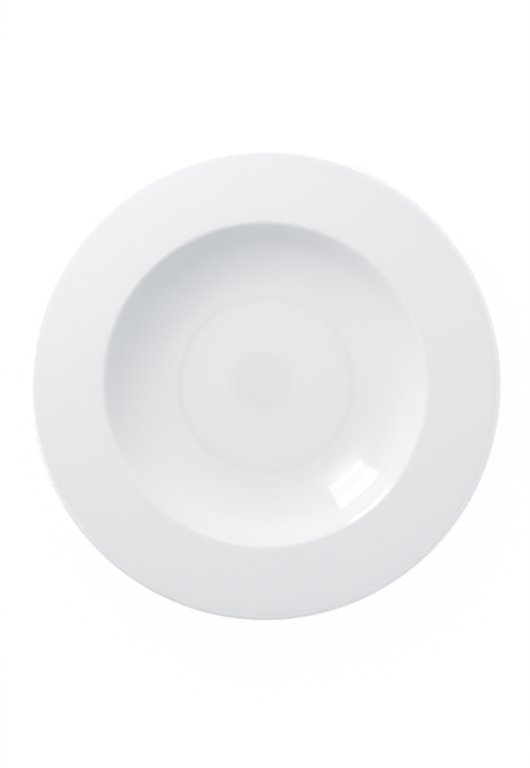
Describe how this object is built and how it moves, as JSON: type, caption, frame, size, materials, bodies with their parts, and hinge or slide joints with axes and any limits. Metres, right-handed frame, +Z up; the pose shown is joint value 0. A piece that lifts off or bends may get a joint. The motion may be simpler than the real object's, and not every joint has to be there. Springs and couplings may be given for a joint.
{
  "type": "rimmed soup plate",
  "caption": "Round white glazed porcelain soup plate with a wide gently rising rim, a round well with a flat floor, and a foot ring.",
  "frame": {"origin": "on the table under the middle of the plate, at the height of the foot ring's rest face", "axes": "+Z up along the plate's axis of symmetry, +X and +Y across the plate"},
  "size_m": [0.24, 0.24, 0.0312],
  "materials": {
    "fired_porcelain": "bare and matt, ground smooth on the foot",
    "white_glaze": "gloss"
  },
  "bodies": {
    "root": {"porcelain_body": "fired_porcelain", "main_glaze": "white_glaze", "base_glaze": "white_glaze"}
  },
  "joints": []
}
